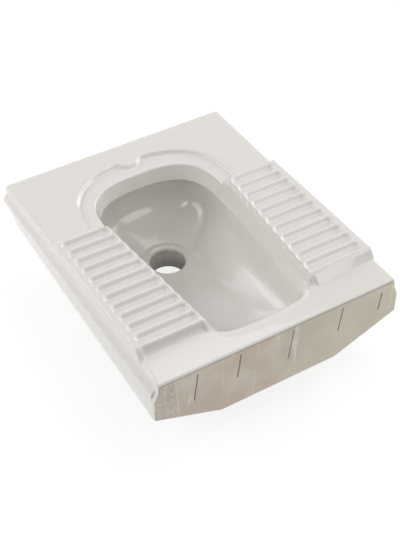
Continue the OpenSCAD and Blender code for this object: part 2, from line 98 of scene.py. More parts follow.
def uneven_coat():
    """The cloudy variation of a fired coat: a mask for its tone, and a fine height for the faint ripple that
    it keeps, because the body under it was shaped by hand."""
    group = bpy.data.node_groups.new("uneven_coat", "ShaderNodeTree")
    face = group.interface
    for name, value in (("Cloud Size", 9.0), ("Ripple Size", 55.0), ("Ripple Share", 0.35)):
        face.new_socket(name, in_out="INPUT", socket_type="NodeSocketFloat").default_value = value
    for name in ("Tone", "Height"):
        face.new_socket(name, in_out="OUTPUT", socket_type="NodeSocketFloat")
    given, out = group.nodes.new("NodeGroupInput"), group.nodes.new("NodeGroupOutput")
    point = object_point(group)
    cloud = noise(group, point, given.outputs["Cloud Size"], 3.0)
    ripple = noise(group, point, given.outputs["Ripple Size"], 1.5)
    feed(group, out.inputs["Tone"], cloud)
    feed(group, out.inputs["Height"], mixed(group, cloud, ripple, given.outputs["Ripple Share"], "FLOAT"))
    return group


coat_effect = uneven_coat()


def place_effect(tree, effect, **values):
    node = tree.nodes.new("ShaderNodeGroup")
    node.node_tree = effect
    for name, value in values.items():
        node.inputs[name.replace("_", " ")].default_value = value
    return node.outputs


def new_material(name, **settings):
    """A material with its plain settings made. Gives the material, its node tree and its shader's inputs."""
    material = bpy.data.materials.new(name)
    material.use_nodes = True
    inputs = material.node_tree.nodes["Principled BSDF"].inputs
    for setting, value in settings.items():
        inputs[setting.replace("_", " ")].default_value = value
    return material, material.node_tree, inputs


def bumped(tree, height, strength, distance):
    node = tree.nodes.new("ShaderNodeBump")
    for name, value in (("Height", height), ("Strength", strength), ("Distance", distance)):
        feed(tree, node.inputs[name], value)
    return node.outputs["Normal"]


def glossy_glaze(name, back_shade=0.0):
    """The fired glaze. Given a share, it paints the back of the bowl darker: painted shade, where little
    light reaches it.
    """
    material, tree, inputs = new_material(
        name, Roughness=GLAZE_ROUGH, IOR=GLAZE_IOR, Coat_Weight=GLAZE_COAT, Coat_Roughness=COAT_ROUGH)
    coat = place_effect(tree, coat_effect, **GLAZE_CLOUDS)
    color = mixed(tree, GLAZE_THIN, GLAZE_FULL, coat["Tone"])
    if back_shade:
        # Painted shade: the glaze darkens towards the back of the bowl
        y = apart(tree, object_point(tree))["Y"]
        color = mixed(tree, color, GLAZE_PAINTED_SHADE, ramp(tree, y, 0.02, 0.20, high=back_shade))
    feed(tree, inputs["Base Color"], color)
    feed(tree, inputs["Normal"], bumped(tree, coat["Height"], 0.10, 0.0012))
    return material


glaze = glossy_glaze("warm_white_glaze")
bowl_glaze = glossy_glaze("glaze_with_painted_shade", back_shade=0.5)

DECK_TOP = 200.0  # mm above the end of the outlet spigot
BASIN_Y, DRAIN_Y = 100.0, 95.0  # middles of the basin's round back and of the drain

# A station is about a distance in mm along the deck's edge, from the middle
# of the back by the right side to the middle of the front. The outlines below
# give a point for each station, and they are mirrored to the left side.
BACK_CORNER, FRONT_CORNER, FRONT_MIDDLE = 240, 836, 1080.0
ROUND_END, FLANK_END, BEND_END = 440.0, 776.0, 900.0
STATIONS = sorted(
    set(np.arange(0, 46, 1.5)) | set(np.arange(51, 440, 7.0)) | set(np.arange(456, 776, 8.0))
    | set(np.arange(776, 900, 5.0)) | set(np.arange(900, 1081, 10.0))
    | {440.0, 445.0, 448.8, 449.2, 452.0}
    | {corner + step for corner in (BACK_CORNER, FRONT_CORNER)
       for step in (-5.6, -4.2, -2.8, -1.4, 0.1, 1.5, 2.9, 4.3, 5.7)})
STATION = np.array(STATIONS)
SETTLE = 0.07  # share of a flank over which it starts to draw in


def ease(value, low, high):
    """0 below low, 1 above high and smooth between them."""
    u = np.clip((np.asarray(value, float) - low) / (high - low), 0, 1)
    return u * u * (3 - 2 * u)


def outline(half_w, reach, square, middle, front_w, front, bend, bow):
    """Half of a trough-shaped outline: a blunt round back, flanks that draw in, round corners and a bowed
    front. Its widest place is at middle, from where the back reaches on."""
    centre_x, centre_y, turn = front_w - bend, front + bow + bend, math.pi / 2
    for _ in range(4):
        end_x = centre_x + bend * math.cos(turn)
        turn = math.atan2(end_x, 2 * bow)
        centre_y = front + bow + bend * math.sin(turn)
    lean = math.atan2(half_w - front_w, middle - centre_y)
    flank_x, flank_y = centre_x + bend * math.cos(lean), centre_y - bend * math.sin(lean)
    points = []
    for s in STATIONS:
        if s <= ROUND_END:
            t = math.pi / 2 * (1 - s / ROUND_END)
            points.append((half_w * max(0.0, math.cos(t)) ** (2 / square),
                           middle + reach * max(0.0, math.sin(t)) ** (2 / square)))
        elif s <= FLANK_END:
            v = (s - ROUND_END) / (FLANK_END - ROUND_END)
            drawn = (v - SETTLE * (1 - math.exp(-v / SETTLE))) / (1 - SETTLE)
            points.append((half_w + (flank_x - half_w) * drawn, middle + (flank_y - middle) * v))
        elif s <= BEND_END:
            a = lean + (turn - lean) * (s - FLANK_END) / (BEND_END - FLANK_END)
            points.append((centre_x + bend * math.cos(a), centre_y - bend * math.sin(a)))
        else:
            u = 1 - (s - BEND_END) / (FRONT_MIDDLE - BEND_END)
            points.append((end_x * u, front + bow * u * u))
    return np.array(points)


def grown(points, distance):
    """An outline moved outward."""
    flip = np.array([-1.0, 1.0])
    whole = np.vstack([points[1:2] * flip, points, points[-2:-1] * flip])
    along = whole[2:] - whole[:-2]
    out = np.column_stack([-along[:, 1], along[:, 0]])
    out /= np.maximum(np.linalg.norm(out, axis=1), 1e-9)[:, None]
    return points + out * np.reshape(distance, (-1, 1))


def at_height(points, z):
    """A row: an outline's points, each at its own height, or all at one."""
    return np.column_stack([points, np.broadcast_to(z, len(points))])


def finished(name, bm, material, sharp=38):
    """Turns a bmesh into a piece of the pan: smooth but for its sharp edges, and riding on the body."""
    bmesh.ops.recalc_face_normals(bm, faces=bm.faces)
    for face in bm.faces:
        face.smooth = True
    for edge in bm.edges:
        edge.smooth = len(edge.link_faces) == 2 and edge.calc_face_angle(0) < math.radians(sharp)
    mesh = bpy.data.meshes.new(name)
    bm.to_mesh(mesh)
    bm.free()
    piece = bpy.data.objects.new(name, mesh)
    bpy.context.scene.collection.objects.link(piece)
    mesh.materials.append(material)
    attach(piece, "root")
    return piece


def ring(name, rows, material):
    """A closed ring round the mouth. A flat grid is bent so that its columns
    take the places of the rows, and the half on the left is its mirror image."""
    bm = bmesh.new()
    bmesh.ops.create_grid(bm, x_segments=len(rows), y_segments=len(STATIONS) - 1, size=0.5)
    for v in bm.verts:
        row = round((v.co.x + 0.5) * len(rows)) % len(rows)
        station = round((v.co.y + 0.5) * (len(STATIONS) - 1))
        x, y, z = rows[row][station]
        v.co = (x / 1000, y / 1000, (z + DECK_TOP) / 1000)
    bmesh.ops.remove_doubles(bm, verts=bm.verts, dist=2e-6)
    bmesh.ops.mirror(bm, geom=bm.verts[:] + bm.edges[:] + bm.faces[:],
                     matrix=Matrix.Identity(4), merge_dist=2e-6, axis="X")
    return finished(name, bm, material)


LIP_FRONT, LIP_ROLL = -247.0, 3.0
LIP = outline(117, 103, 2.7, BASIN_Y, 87, LIP_FRONT, 20, 5)
LIP_Z = -20 - 22 * np.clip((LIP[:, 1] - LIP_FRONT) / (BASIN_Y - LIP_FRONT), 0, 1) ** 1.5
AT_BACK = ease(LIP[:, 1], BASIN_Y - 50, BASIN_Y + 60)
LEDGE_W = 14 + 20 * AT_BACK
LEDGE_FALL = 18 * AT_BACK


def under_z(distance):
    """Height of the rim's underside at a distance outside the lip."""
    return LIP_Z - LIP_ROLL - LEDGE_FALL * distance / LEDGE_W


BOWL_FLOOR = outline(55, 55, 2, DRAIN_Y, 46, -172, 38, 1)
FLOOR_Z, FLOOR_SLOPE, SLOPE_FROM = -150.0, 0.2, 52
DRAIN_R, DRAIN_EDGE, THROAT_Z = 35.0, 8.0, -163.9
SEAT_R, FLARE_R, SHELL = 46.9, 51, 11.0  # where it sits on the spigot, and its wall's thickness
BEND_AT, LEAN, HOLLOW = 0.46, 0.06, 1.2
BEND_SOFT = 0.05 + 0.05 * AT_BACK


def wall_share(g):
    """How far the wall has come in at a share of its depth, as a factor for x, y and z at each station. It
    is nearly upright at first, and then a hollow slope of about 45 degrees."""
    def soft(u):
        return np.log(1 + np.exp((u - BEND_AT) / BEND_SOFT))
    share = LEAN * g + (1 - LEAN) * ((soft(g) - soft(0)) / (soft(1) - soft(0))) ** HOLLOW
    return np.column_stack([share, share, np.full(len(share), g)])


def floor_z(y):
    """The floor is level round the drain, and rises from there to the front."""
    return FLOOR_Z + FLOOR_SLOPE * np.maximum(0, SLOPE_FROM - y)


def circle(radius):
    """A circle round the drain with a point for each station, the last ones in front of the drain."""
    t = math.pi * STATION / FRONT_MIDDLE
    return np.column_stack([radius * np.sin(t), DRAIN_Y + radius * np.cos(t)])


def bowl_rows():
    """Rows down the inside, over the drain's edge into the throat, and up again along the outside."""
    stand = 2 + 12 * AT_BACK
    top = at_height(grown(LIP, stand), under_z(stand))
    foot = at_height(BOWL_FLOOR, floor_z(BOWL_FLOOR[:, 1]))
    inside = []
    for g in np.linspace(0, 1, 26):
        inside.append(top + (foot - top) * wall_share(g))
    edge = circle(DRAIN_R + DRAIN_EDGE)
    for share in np.linspace(0, 1, 9)[1:]:
        points = BOWL_FLOOR + (edge - BOWL_FLOOR) * share
        inside.append(at_height(points, floor_z(points[:, 1])))
    # The rows on both sides of the wall's foot are drawn together to a soft bend
    soft = np.array(inside)
    for _ in range(5):
        soft[19:30] += 0.5 * (0.5 * (soft[18:29] + soft[20:31]) - soft[19:30])
    rows = list(soft)
    for turn in np.radians(np.linspace(12, 90, 8)):
        rows.append(at_height(circle(DRAIN_R + DRAIN_EDGE * (1 - math.sin(turn))),
                              FLOOR_Z - DRAIN_EDGE * (1 - math.cos(turn))))
    rows += [at_height(circle(DRAIN_R), z) for z in (FLOOR_Z - DRAIN_EDGE - 1, THROAT_Z)]
    rows += [at_height(circle(SEAT_R), z) for z in (THROAT_Z, THROAT_Z + 0.9)]
    for share in (1.0, 0.5, 0.1):
        points = grown(BOWL_FLOOR, SHELL * 0.65)
        points = points + (circle(FLARE_R) - points) * share
        rows.append(at_height(points, np.maximum(floor_z(points[:, 1]) - SHELL * 0.95, THROAT_Z + 1)))
    for g in np.linspace(0.96, 0.1, 12):
        row = top + (foot - top) * wall_share(g)
        rows.append(at_height(grown(row[:, :2], SHELL * (1 - 0.35 * g)), row[:, 2] - SHELL * 0.8 * g))
    rows.append(at_height(grown(LIP, stand + SHELL), under_z(stand + SHELL)))
    return rows


bowl = ring("bowl_trough", bowl_rows(), bowl_glaze)
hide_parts("bowl")

# ---------------------------------------------------------------------------
# Flush rim. The collar round the mouth: at the back and sides a steep face,
# at the front one wide soft roll. Round the back it is a hollow box, whose
# ledge hangs below the lip and lets the flush water out behind it.
# ---------------------------------------------------------------------------
MOUTH = outline(127, 107, 2.7, BASIN_Y, 97, -281, 30, 7)
BEHIND = STATION < 449  # where the lowered shelf runs round the mouth
DECK_T, SHELF_Z = 12.0, -8.0
MOUTH_Z = np.where(BEHIND, SHELF_Z, 0.0)
BAND_W, RIM_ROLL, LEDGE_END = 6.0, 4.5, 9
BOX_IN, BOX_UP = 10, 5  # the hollow box's inner corner, outside the lip and above it


def rim_rows():
    """Rows from the mouth's band down the face to the lip, out under the ledge and back up to the deck."""
    roll = RIM_ROLL * np.where(BEHIND, 1.0, ease(-MOUTH[:, 1], 224, 244))
    to_front = ease(-MOUTH[:, 1], 228, 272)
    inward = LIP - MOUTH
    reach = np.linalg.norm(inward, axis=1)
    drop = LIP_Z - MOUTH_Z

    def face_row(away, fall):
        """Points at a distance inward from the mouth's outline, below it by a fall."""
        out = grown(MOUTH, np.maximum(0, -away)) - MOUTH
        return at_height(MOUTH + out + inward * (np.maximum(0, away) / reach)[:, None], MOUTH_Z + fall)

    # Each row of the face lies between the steep one of the back and the gentle roll of the front
    rows = [at_height(grown(MOUTH, BAND_W), MOUTH_Z)]
    arcs, falls, steep_turn = 7, 15, math.radians(82)
    roll_end, roll_fall = roll * (math.sin(steep_turn) - 0.75), -roll * (1 - math.cos(steep_turn))
    for k in range(arcs + falls + 1):
        if k <= arcs:
            turn = steep_turn * k / arcs
            away = roll * (math.sin(turn) - 0.75)
            fall = -roll * (1 - math.cos(turn))
        else:
            s = (k - arcs) / falls
            away = roll_end + (reach - roll_end) * (1.13 * s - 0.13 * s * s)
            fall = roll_fall + (drop - roll_fall) * s
        turn = math.pi / 2 * k / (arcs + falls)
        steep, gentle = face_row(away, fall), face_row(reach * math.sin(turn), drop * (1 - math.cos(turn)))
        rows.append(steep + (gentle - steep) * to_front[:, None])
    for turn in np.radians([18, 36, 54, 72, 90]):
        rows.append(at_height(grown(LIP, LIP_ROLL * (1 - math.cos(turn))),
                              LIP_Z - LIP_ROLL * math.sin(turn)))
    for share in (0.35, 0.7, 1.0):
        away = LIP_ROLL + (LEDGE_W - LIP_ROLL) * share
        rows.append(at_height(grown(LIP, away), under_z(away)))
    rows.append(at_height(grown(LIP, LEDGE_W), under_z(LEDGE_W) + LEDGE_END))
    rows.append(at_height(grown(LIP, BOX_IN), LIP_Z + BOX_UP))
    rows.append(at_height(grown(MOUTH, BAND_W), -DECK_T + SHELF_Z * AT_BACK))
    return rows


rim = ring("flush_rim_collar", rim_rows(), glaze)
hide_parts("flush_rim")

# ---------------------------------------------------------------------------
# Deck. The flat glazed top plate with softly rounded edges. Behind the bowl it
# drops by a small step to a lowered shelf, with a pointed tongue in the middle
# of the step. Below its front edge the glaze is wiped off the bare clay.
# ---------------------------------------------------------------------------
BACK, SIDE, FRONT = 300.0, 240.0, -300.0
GLAZE_LINE = (DECK_TOP - 3.7) / 1000  # height where the wiped front begins
FRONT_FACE = FRONT / 1000
CLAY_DARK, CLAY_PALE = (0.645, 0.560, 0.463, 1), (0.755, 0.683, 0.582, 1)
CLAY_GREEN, CLAY_DUSTY = (0.685, 0.655, 0.535, 1), (0.46, 0.43, 0.375, 1)
CRUST_VEIN, GLAZE_RUN, GLAZE_SPECK = (0.78, 0.69, 0.61, 1), (0.84, 0.80, 0.72, 1), (0.86, 0.85, 0.80, 1)
CLAY_LINE_DARK, GLAZE_LINE_DARK = (0.30, 0.285, 0.27, 1), (0.42, 0.41, 0.40, 1)
CLAY_ROUGH = 0.62


def maths(tree, operation, a, b=0.0):
    node = tree.nodes.new("ShaderNodeMath")
    node.operation = operation
    feed(tree, node.inputs[0], a)
    feed(tree, node.inputs[1], b)
    return node.outputs["Value"]


def wiped_front():
    """The pan's front below its top edge, wiped down to the clay. Glaze stays in the slits and round the
    corners, and a darker band runs along the line where it ends. Puts out where the clay is bare, and where
    the dark band is, with the clay's colour and its height."""
    group = bpy.data.node_groups.new("wiped_front", "ShaderNodeTree")
    face = group.interface
    for name, value in (("Line Height", GLAZE_LINE), ("Line Wander", 0.0022)):
        face.new_socket(name, in_out="INPUT", socket_type="NodeSocketFloat").default_value = value
    for name, kind in (("Bare", "Float"), ("Edge", "Float"), ("Color", "Color"), ("Height", "Float")):
        face.new_socket(name, in_out="OUTPUT", socket_type="NodeSocket" + kind)
    given, out = group.nodes.new("NodeGroupInput"), group.nodes.new("NodeGroupOutput")
    point = object_point(group)
    x, y, z = apart(group, point)

    def times(a, b):
        return maths(group, "MULTIPLY", a, b)

    def plus(a, b):
        return maths(group, "ADD", a, b)

    def minus(a, b):
        return maths(group, "SUBTRACT", a, b)

    def clouds(size, stretch=(1, 1, 1), detail=2.0):
        moved = group.nodes.new("ShaderNodeMapping")
        feed(group, moved.inputs["Vector"], point)
        feed(group, moved.inputs["Scale"], stretch)
        return noise(group, moved.outputs["Vector"], size, detail)

    def from_middle(value):
        """Small along the thin winding lines where a noise crosses its middle."""
        return maths(group, "ABSOLUTE", minus(value, 0.5))

    # Where the clay is bare, and the darker band along its line
    wander = times(minus(clouds(22.0, detail=3.0), 0.5), given.outputs["Line Wander"])
    above = minus(plus(z, wander), given.outputs["Line Height"])
    inward = minus(minus(y, times(wander, 0.2)), FRONT_FACE)
    bare = times(ramp(group, above, 0.0008, -0.0008), ramp(group, inward, 0.0012, 0.0004))
    band_start = times(ramp(group, above, 0.0014, -0.0006), ramp(group, inward, 0.0016, 0.0007))
    band_end = times(ramp(group, above, -0.0004, -0.0042), ramp(group, inward, 0.0007, 0.00015))
    dark_band = times(minus(band_start, band_end), 0.75)
    # The clay's blotches, greener to the right
    color = mixed(group, CLAY_DARK, CLAY_PALE, ramp(group, clouds(13.0, detail=3.0), 0.34, 0.66))
    color = mixed(group, color, CLAY_GREEN, times(ramp(group, x, -0.10, 0.16), 0.55))
    # Rough crust on the upper part of the left end
    crust_x, crust_z = plus(x, times(clouds(28.0), 0.03)), plus(z, times(clouds(35.0), 0.05))
    crust = times(ramp(group, crust_x, -0.186, -0.196), ramp(group, crust_z, 0.118, 0.142))
    veins = ramp(group, from_middle(clouds(85.0, detail=1.0)), 0.035, 0.012)
    color = mixed(group, color, CLAY_DUSTY, times(crust, 0.35))
    color = mixed(group, color, CRUST_VEIN, times(crust, veins))
    # Thin upright runs of glaze, and specks
    runs = ramp(group, from_middle(clouds(1.0, (34, 0, 3.2), 0.0)), 0.022, 0.007)
    runs_here = ramp(group, clouds(1.0, (16, 0, 18), 1.0), 0.46, 0.58)
    color = mixed(group, color, GLAZE_RUN, times(runs, times(runs_here, 0.75)))
    specks = ramp(group, clouds(330.0, detail=1.0), 0.70, 0.76)
    color = mixed(group, color, GLAZE_SPECK, times(specks, ramp(group, clouds(18.0), 0.50, 0.60)))
    grain = times(clouds(210.0), plus(times(crust, 2.2), 0.25))
    feed(group, out.inputs["Bare"], bare)
    feed(group, out.inputs["Edge"], dark_band)
    feed(group, out.inputs["Color"], mixed(group, color, CLAY_LINE_DARK, dark_band))
    feed(group, out.inputs["Height"], plus(grain, times(clouds(60.0), 0.5)))
    return group


front_effect = wiped_front()


def glaze_over_clay(name):
    """Glaze that is wiped off the front, with the bare clay showing there."""
    material, tree, inputs = new_material(name, IOR=GLAZE_IOR, Coat_Roughness=COAT_ROUGH)
    coat = place_effect(tree, coat_effect, **GLAZE_CLOUDS)
    front = place_effect(tree, front_effect)
    bare = front["Bare"]
    # The glaze is darker in a band just above the line where it ends
    tint = mixed(tree, mixed(tree, GLAZE_THIN, GLAZE_FULL, coat["Tone"]), GLAZE_LINE_DARK, front["Edge"])
    feed(tree, inputs["Base Color"], mixed(tree, tint, front["Color"], bare))
    feed(tree, inputs["Roughness"], mixed(tree, GLAZE_ROUGH, CLAY_ROUGH, bare, "FLOAT"))
    feed(tree, inputs["Coat Weight"], mixed(tree, GLAZE_COAT, 0.0, bare, "FLOAT"))
    height = mixed(tree, maths(tree, "MULTIPLY", coat["Height"], 0.35), front["Height"], bare, "FLOAT")
    feed(tree, inputs["Normal"], bumped(tree, height, 0.35, 0.001))
    return material


deck_glaze = glaze_over_clay("glaze_with_wiped_front")
SHELF_FRONT, REST_FRONT = 91.0, -236.0
SHELF_W, SHELF_REACH, SHELF_SQUARE = 160, 146, 2.4
TONGUE_LONG, TONGUE_W = 15, 20
CORNER, TURN, EDGE_ROLL = 5.0, 5, 4.5


def shelf_outline():
    """The foot of the step round the shelf, with the tongue in the middle."""
    t = np.pi / 2 * (1 - STATION / ROUND_END)
    c, s = np.clip(np.cos(t), 0, 1), np.clip(np.sin(t), 0, 1)
    x = SHELF_W * c ** (2 / SHELF_SQUARE)
    y = BASIN_Y + SHELF_REACH * s ** (2 / SHELF_SQUARE) - TONGUE_LONG * np.exp(-(x / TONGUE_W) ** 4)
    return np.column_stack([x, y])


def plate_edge(inset):
    """The deck's outline, moved inward."""
    radius, points = max(CORNER - inset, 0.8), []
    x, back, front = SIDE - inset - radius, BACK - inset - radius, FRONT + inset + radius
    side_start, side_end = BACK_CORNER + TURN, FRONT_CORNER - TURN
    for s in STATIONS:
        if s <= BACK_CORNER - TURN:
            point = (x * s / (BACK_CORNER - TURN), BACK - inset)
        elif s < side_start:
            a = math.pi / 2 * (s - BACK_CORNER + TURN) / (2 * TURN)
            point = (x + radius * math.sin(a), back + radius * math.cos(a))
        elif s <= side_end:
            point = (SIDE - inset, back + (front - back) * (s - side_start) / (side_end - side_start))
        elif s < FRONT_CORNER + TURN:
            a = math.pi / 2 * (s - side_end) / (2 * TURN)
            point = (x + radius * math.cos(a), front - radius * math.sin(a))
        else:
            point = (x * (FRONT_MIDDLE - s) / (FRONT_MIDDLE - FRONT_CORNER - TURN), FRONT + inset)
        points.append(point)
    return np.array(points)


def deck_rows():
    """Rows from the mouth's band over the step, the top and the edge, and back along the underside. Where
    there is no shelf, the step's rows lie together on a line in the deck's top."""
    behind = BEHIND[:, None]
    shelf, band = shelf_outline(), grown(MOUTH, BAND_W)
    even = band + (plate_edge(0) - band) * 0.25
    step = np.where(behind, shelf, even)
    beyond_step = np.where(behind, grown(shelf, 6), even)
    rows = [at_height(band, MOUTH_Z)]
    rows += [at_height(band + (step - band) * share, MOUTH_Z) for share in (0.2, 0.45)]
    # The step: a hollow fillet at its foot and a round edge at its top
    for away, rise in ((-5.5, 0), (-4.4, 0.12), (-3.3, 0.5), (-2.4, 1.2), (-1.6, 2.3), (-0.9, 3.6),
                       (-0.2, 5.0), (0.5, 6.2), (1.3, 7.15), (2.2, 7.75), (3.2, 8)):
        moved = np.where(behind, grown(shelf, away), even)
        rows.append(at_height(moved, np.where(BEHIND, rise + SHELF_Z, 0.0)))
    rows.append(at_height(beyond_step, 0))
    # The edge is rolled, but stays sharp under the foot rests' outer walls
    foot_rest = (plate_edge(0)[:, 1] > REST_FRONT) & (plate_edge(0)[:, 1] < SHELF_FRONT)
    edge = np.where(foot_rest, 0.05, EDGE_ROLL)
    rows.append(at_height(plate_edge(9), 0))
    straight, wide = plate_edge(0), plate_edge(EDGE_ROLL)
    for turn in np.radians([0, 15, 30, 45, 60, 75, 90]):
        share = (edge * (1 - math.sin(turn)) / EDGE_ROLL)[:, None]
        rows.append(at_height(straight + (wide - straight) * share, -edge * (1 - math.cos(turn))))
    rows.append(at_height(plate_edge(0), -DECK_T))
    rows.append(at_height(plate_edge(14), -DECK_T))
    rows.append(at_height(beyond_step, -DECK_T))
    rows.append(at_height(beyond_step, MOUTH_Z - DECK_T))
    rows.append(at_height(band, MOUTH_Z - DECK_T))
    return rows


deck = ring("deck_plate", deck_rows(), deck_glaze)
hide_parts("deck")

# ---------------------------------------------------------------------------
# Foot rests. Two raised treads, higher at the front, pressed with round-ended
# grooves and scalloped along the inner edge. The left one's front end is
# scooped out between two small posts, and the right one's is a plain slope.
# ---------------------------------------------------------------------------
PITCH = 27.55
GROOVES = [68.0 - PITCH * i for i in range(11)]
GROOVE_R, GROOVE_D = 8.6, 7.8
GROOVE_FROM_INSIDE, GROOVE_FROM_OUTSIDE = 4.7, 12.5
CREST_R, FILLET_R, STEEP = 5.0, 4.0, math.radians(62)
CREST_Y = GROOVES[0] + PITCH / 2
NOTCH_D, NOTCH_R, LAST_NOTCH = 3.2, 14.4, -216
TREAD_LOW, TREAD_RISE, RISE_END = 11.5, 7.0, -226
WALL_LEAN, WALL_HOLLOW = 0.42, 0.0035
CORNER_R, EDGE_R = 13.4, 3.0
SLOPE_START, SLOPE_DROP, SLOPE_SPREAD, REST_W = 3.0, 18.4, 9, 135  # of the right one's front end
SUNK, LIFT = 0.8, 0.02  # its feet reach into the deck, and no face lies just in the deck's top
# Drops that stand for a row's place: at the deck's level, at the foot of an
# end wall, and turned in under it
LEVEL, AT_FOOT, UNDER = 90, 98, 99
QUARTER = np.radians([90, 75, 60, 45, 30, 15, 0])
# Across, from the outer wall's foot to the inner wall's foot
ACROSS = [("foot", 1.5)]
ACROSS += [("outer wall", f) for f in (0, 0.35, 0.7)]
ACROSS += [("outer edge", a) for a in QUARTER]
ACROSS += [("from outside", d) for d in (4.5, 6.5, 8.5, 10, *np.arange(11, 26, 1.0))]
ACROSS += [("middle", f) for f in (0.08, 0.3, 0.5, 0.7, 0.92)]
ACROSS += [("from inside", d) for d in (*np.arange(23, 4, -1.0), 3.6)]
ACROSS += [("inner edge", a) for a in QUARTER[::-1]]
ACROSS += [("inner wall", f) for f in (0.12, 0.25, 0.4, 0.6, 0.8, 0.93, 1.0)]
ACROSS += [("foot", -1.5)]
MIDDLE_START, MIDDLE_END = 26.0, 24.0
FAR = 60  # farther in than any edge's effect reaches


def groove_fall(away):
    """Depth of a groove at a distance from its middle line: a flat floor, a steep wall and a round crest."""
    from_crest = PITCH / 2 - away
    wall = GROOVE_D - (CREST_R + FILLET_R) * (1 - math.cos(STEEP))
    crest_end = CREST_R * math.sin(STEEP)
    wall_end = crest_end + wall / math.tan(STEEP)
    floor = wall_end + FILLET_R * math.sin(STEEP)
    if from_crest <= 0:
        return 0.0
    if from_crest < crest_end:
        return CREST_R - math.sqrt(CREST_R ** 2 - from_crest ** 2)
    if from_crest < wall_end:
        return CREST_R * (1 - math.cos(STEEP)) + (from_crest - crest_end) * math.tan(STEEP)
    if from_crest < floor:
        return GROOVE_D - FILLET_R + math.sqrt(FILLET_R ** 2 - (floor - from_crest) ** 2)
    return GROOVE_D


def tread_top(y):
    """Height above the deck, which rises to the front."""
    return TREAD_LOW + TREAD_RISE * (SHELF_FRONT - max(y, RISE_END)) / (SHELF_FRONT - RISE_END)


def mouth_x(y):
    flank = MOUTH[STATION > ROUND_END]
    return float(np.interp(-y, -flank[:, 1], flank[:, 0]))


def wall_x(y, z):
    """The tread's inner wall, which carries on the lean of the rim's face. Its back corner turns round the
    first groove."""
    turned = min(max(y - GROOVES[0], 0), 0.98 * CORNER_R)
    corner = CORNER_R - math.sqrt(CORNER_R ** 2 - turned ** 2)
    return mouth_x(y) + corner + WALL_LEAN * z + WALL_HOLLOW * z * z


def lengthwise(hand):
    """Rows from the back end's foot to the front end's foot. Each has y and the drop below the top twice: in
    the front end's scoop, and at the posts beside it."""
    side = (13.1, 12.7, 12.2, 11.6, 11.0, 10.4, 9.8, 9.4, 9.0, 8.3, 7.7, 7.1, 6.5, 5.8, 5.0, 4.2, 2.0)
    rows = [(SHELF_FRONT - 1.5, UNDER) * 2, (SHELF_FRONT, AT_FOOT) * 2, (SHELF_FRONT, LEVEL) * 2]
    rows += [(CREST_Y + CREST_R * math.sin(a), CREST_R * (1 - math.cos(a))) * 2
             for a in np.radians([62, 50, 38, 26, 14, 0])]
    for y in GROOVES:
        rows += [(y + d, 0) * 2 for d in side]
        rows += [(y - d, 0) * 2 for d in (*side[::-1], PITCH / 2)]
    rows += [(-222.6, 0, -222.6, 0), (-223.6, 0.15, -223.8, 0.2), (-224.6, 0.6, -225.4, 0.9),
             (-225.6, 1.6, -227.3, 2.3)]
    posts = [(-229.0, 4.2), (-230.6, 6.6), (-232.1, 9.2), (-233.5, 11.7), (-234.9, 14.0), (-236.2, 15.9),
             (-237.6, 17.4), (-239.0, 18.2)]
    if hand > 0:
        scoop = [(-227.2 - 9.8 * s, SLOPE_START + (SLOPE_DROP - SLOPE_START) * s)
                 for s in np.linspace(0, 1, 8)]
        foot_y = -237.1
    else:
        scoop = [(-226.2, 3.2), (-226.7, 5.6), (-227.2, 8.2), (-227.9, 10.9), (-229.0, 13.4),
                 (-230.8, 15.5), (-233.2, 17.1), (-236.2, 18.05)]
        foot_y = -240.0
    rows += [s + p for s, p in zip(scoop, posts)]
    return rows + [(foot_y, AT_FOOT, -240.8, AT_FOOT), (foot_y + 1, UNDER, -239.8, UNDER)]


